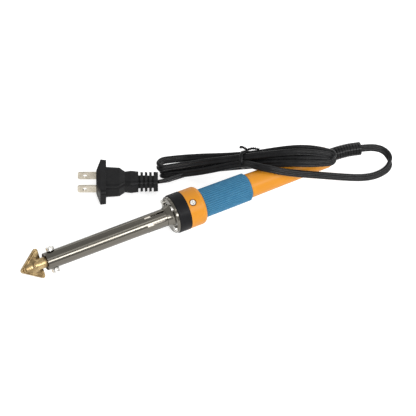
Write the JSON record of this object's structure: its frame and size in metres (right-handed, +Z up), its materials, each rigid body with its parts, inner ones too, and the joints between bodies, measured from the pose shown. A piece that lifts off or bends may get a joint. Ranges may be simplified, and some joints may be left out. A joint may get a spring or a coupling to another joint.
{
  "type": "soldering iron",
  "caption": "Mains soldering iron with a triangular brass tip, vented metal barrel, ribbed grip, and a tied twin cord ending in a flat-blade plug.",
  "frame": {"origin": "on the surface the iron lies on, under the middle of the iron without its cord and boot", "axes": "+X along the iron from the tip to the cord, +Z up"},
  "size_m": [0.2877, 0.0967, 0.0331],
  "materials": {
    "tip_brass": "satin, heat-dulled",
    "barrel_chrome": "bright plating",
    "screw_steel": "bright zinc",
    "bush_steel": "heat-tinted",
    "mica": "mica sheet",
    "winding_wire": "oxidised resistance wire",
    "ceramic": "unglazed ceramic",
    "sleeve_glass": "woven glass sleeving",
    "ring_black": "satin phenolic",
    "handle_orange": "glossy moulded",
    "grip_blue": "matt ribbed",
    "cord_black": "soft PVC",
    "plug_black": "moulded PVC",
    "blade_nickel": "nickel plated",
    "tie_black": "coated wire",
    "core_insulation": "wire insulation",
    "clamp_plastic": "moulded"
  },
  "bodies": {
    "iron": {"barrel_tube": "barrel_chrome", "barrel_flange": "barrel_chrome", "flange_screws": "screw_steel", "collar_screw": "screw_steel", "terminal_screws": "screw_steel", "cord_clamp_screws": "screw_steel", "front_bush": "bush_steel", "heater_former": "bush_steel", "mica_inner": "mica", "mica_outer": "mica", "heater_winding": "winding_wire", "lead_wires": "winding_wire", "end_insulator": "ceramic", "terminal_block": "ceramic", "lead_sleeves": "sleeve_glass", "insulating_ring": "ring_black", "handle_body": "handle_orange", "grip_sleeve": "grip_blue", "strain_relief": "cord_black", "cord_lead": "cord_black", "cord_hank": "cord_black", "cord_tail": "cord_black", "twist_tie": "tie_black", "plug_body": "plug_black", "plug_blades": "blade_nickel", "plug_bridge": "clamp_plastic", "cord_clamp": "clamp_plastic", "cord_cores": "core_insulation"},
    "tip": {"tip_plate": "tip_brass", "tip_stem": "tip_brass"},
    "clamp_screw_upper": {"clamp_screw_upper": "screw_steel"},
    "clamp_screw_lower": {"clamp_screw_lower": "screw_steel"}
  },
  "joints": [
    {"name": "tip_slide", "type": "slide", "parent": "iron", "child": "tip", "axis": [-1, 0, 0], "range_m": [0, 0.04]},
    {"name": "clamp_screw_upper_out", "type": "slide", "parent": "iron", "child": "clamp_screw_upper", "axis": [0, 0.6018, 0.7986], "range_m": [0, 0.0015]},
    {"name": "clamp_screw_lower_out", "type": "slide", "parent": "iron", "child": "clamp_screw_lower", "axis": [0, -0.6018, -0.7986], "range_m": [0, 0.0015]}
  ]
}
